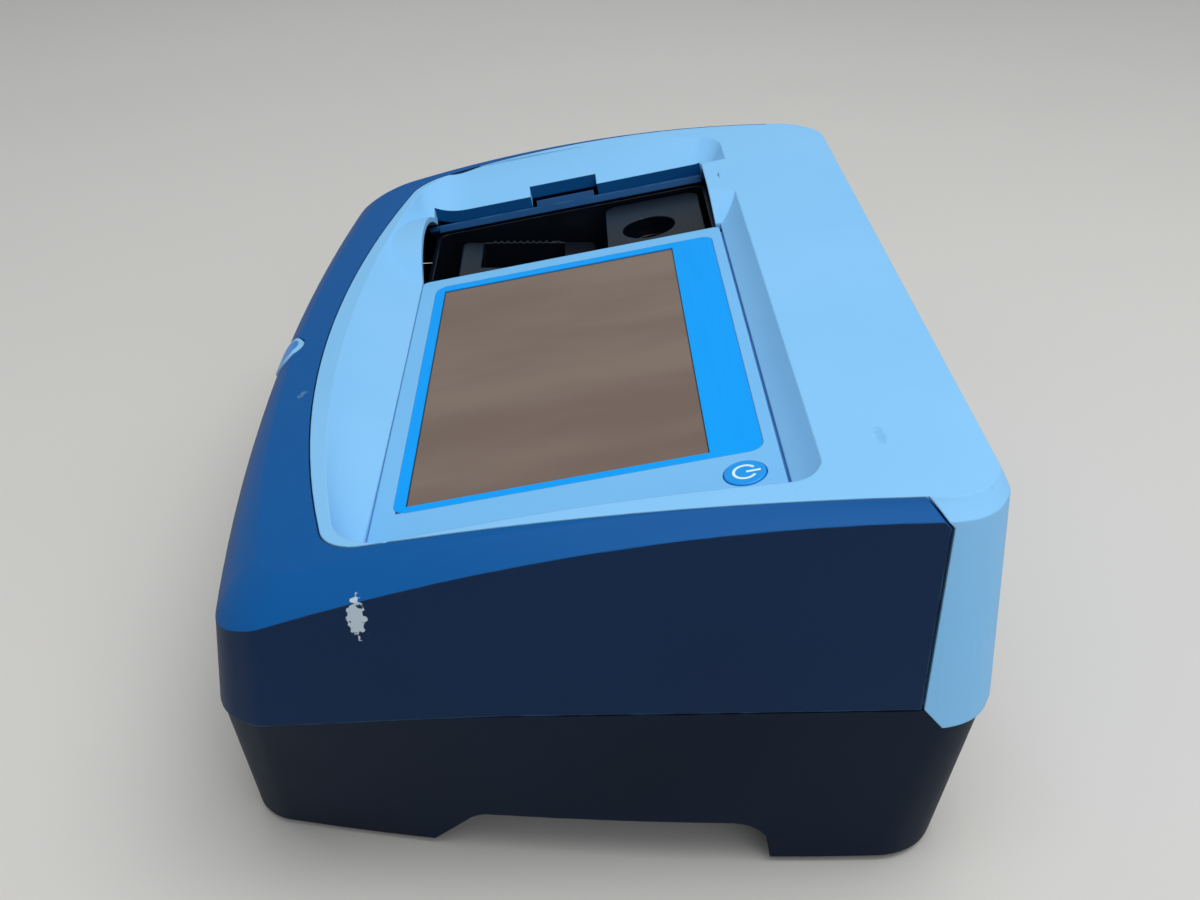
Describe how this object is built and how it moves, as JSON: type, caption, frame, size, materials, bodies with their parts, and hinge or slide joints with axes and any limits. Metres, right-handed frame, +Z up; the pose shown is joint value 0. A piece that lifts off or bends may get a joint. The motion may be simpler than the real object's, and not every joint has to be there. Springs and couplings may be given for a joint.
{
  "type": "bench spectrophotometer",
  "caption": "Bench spectrophotometer with a sloping touch display in a dished face and a cell compartment under a rolling shutter",
  "frame": {"origin": "on the floor under the middle of the instrument's width and depth", "axes": "X to the right, Y to the back, Z up; the operator sits at -Y"},
  "size_m": [0.35, 0.255, 0.151],
  "materials": {
    "dark_moulding": "fine-grained satin injection moulding, dark blue",
    "light_moulding": "fine-grained satin injection moulding, pale blue",
    "base_moulding": "fine-grained satin moulding, near-black blue",
    "foot_rubber": "soft black rubber",
    "frame_foil": "printed satin foil, bright azure",
    "display_glass": "hard-coated glass over a dark, switched-off display",
    "black_plastic": "black moulding",
    "zinc_sheet": "zinc-plated sheet",
    "circuit_board": "green lacquered laminate with components",
    "key_plastic": "smooth azure moulding",
    "badge_resin": "clear resin over an azure disc",
    "steel_pin": "ground steel",
    "tray_plastic": "black low-reflection moulding",
    "gear_plastic": "natural acetal",
    "brass_pinion": "cut brass",
    "motor_steel": "plated steel can",
    "cast_alloy": "dark anodised die casting",
    "lamp_glass": "clear quartz bulb on a white ceramic base",
    "grating_mirror": "front-coated optical surface",
    "socket_steel": "tinned sheet shell round a black insert"
  },
  "bodies": {
    "frame": {"upper_housing": "dark_moulding", "face_cover": "light_moulding", "lower_housing": "base_moulding", "lamp_door": "base_moulding", "foot_front_left": "foot_rubber", "foot_front_right": "foot_rubber", "foot_rear_left": "foot_rubber", "foot_rear_right": "foot_rubber", "screen_plate": "light_moulding", "overlay_frame": "frame_foil", "touch_glass": "display_glass", "display_module": "black_plastic", "display_bracket": "zinc_sheet", "main_board": "circuit_board", "key_board": "circuit_board", "badge": "badge_resin", "pivot_pin_front": "steel_pin", "pivot_pin_rear": "steel_pin", "pivot_bracket_front": "black_plastic", "pivot_bracket_rear": "black_plastic", "cell_tray": "tray_plastic", "cuvette_carrier": "tray_plastic", "round_cell_block": "tray_plastic", "rotor_motor": "motor_steel", "optics_base": "cast_alloy", "lamp_house": "cast_alloy", "halogen_lamp": "lamp_glass", "filter_motor": "motor_steel", "entrance_slit": "cast_alloy", "grating_motor": "motor_steel", "collimator": "grating_mirror", "beam_lens": "cast_alloy", "sample_detector": "circuit_board", "reference_detector": "circuit_board", "power_board": "circuit_board", "interface_board": "circuit_board", "connector_panel": "base_moulding", "lan_socket": "socket_steel", "usb_b_socket": "socket_steel", "usb_a_low": "socket_steel", "usb_a_high": "socket_steel", "dc_inlet": "black_plastic", "rocker_frame": "black_plastic", "rocker_pin": "steel_pin"},
    "shutter": {"shutter_shell": "dark_moulding", "shutter_arm_front": "dark_moulding", "shutter_arm_rear": "dark_moulding"},
    "power_key": {"power_key": "key_plastic"},
    "rocker": {"rocker": "black_plastic"},
    "cell_rotor": {"cell_rotor": "black_plastic", "rotor_gear": "gear_plastic"},
    "rotor_pinion": {"rotor_pinion": "brass_pinion"},
    "grating_table": {"grating_table": "gear_plastic", "grating": "grating_mirror"},
    "grating_pinion": {"grating_pinion": "brass_pinion"},
    "filter_wheel": {"filter_wheel": "cast_alloy"}
  },
  "joints": [
    {"name": "shutter_hinge", "type": "hinge", "parent": "frame", "child": "shutter", "pos_m": [-0.098, 0.00512, 0.07131], "axis": [0, 0.9803, 0.1977], "range_deg": [0, 68.4]},
    {"name": "power_key_slide", "type": "slide", "parent": "frame", "child": "power_key", "axis": [0, 0.1977, -0.9803], "range_m": [0, 0.0008], "stiffness_N_per_m": 1200},
    {"name": "rocker_hinge", "type": "hinge", "parent": "frame", "child": "rocker", "pos_m": [0.076, 0.116, 0.034], "axis": [1, 0, 0], "range_deg": [-16, 0]},
    {"name": "cell_rotor_spin", "type": "hinge", "parent": "frame", "child": "cell_rotor", "pos_m": [-0.094, 0.04155, 0.07529], "axis": [0, -0.1977, 0.9803], "continuous": true},
    {"name": "rotor_pinion_spin", "type": "hinge", "parent": "frame", "child": "rotor_pinion", "pos_m": [-0.07425, 0.04244, 0.07088], "axis": [0, -0.1977, 0.9803], "continuous": true},
    {"name": "grating_turn", "type": "hinge", "parent": "frame", "child": "grating_table", "pos_m": [-0.012, 0.024, 0.066], "axis": [0, 0, 1], "range_deg": [-20, 20]},
    {"name": "grating_pinion_turn", "type": "hinge", "parent": "frame", "child": "grating_pinion", "pos_m": [0.01625, 0.024, 0.066], "axis": [0, 0, 1], "range_deg": [-75, 75]},
    {"name": "filter_wheel_spin", "type": "hinge", "parent": "frame", "child": "filter_wheel", "pos_m": [0.065, 0.032, 0.084], "axis": [1, 0, 0], "continuous": true}
  ],
  "couplings": [
    {"joint": "rotor_pinion_spin", "follows": "cell_rotor_spin", "ratio": -2.5455},
    {"joint": "grating_pinion_turn", "follows": "grating_turn", "ratio": -3.6667}
  ]
}
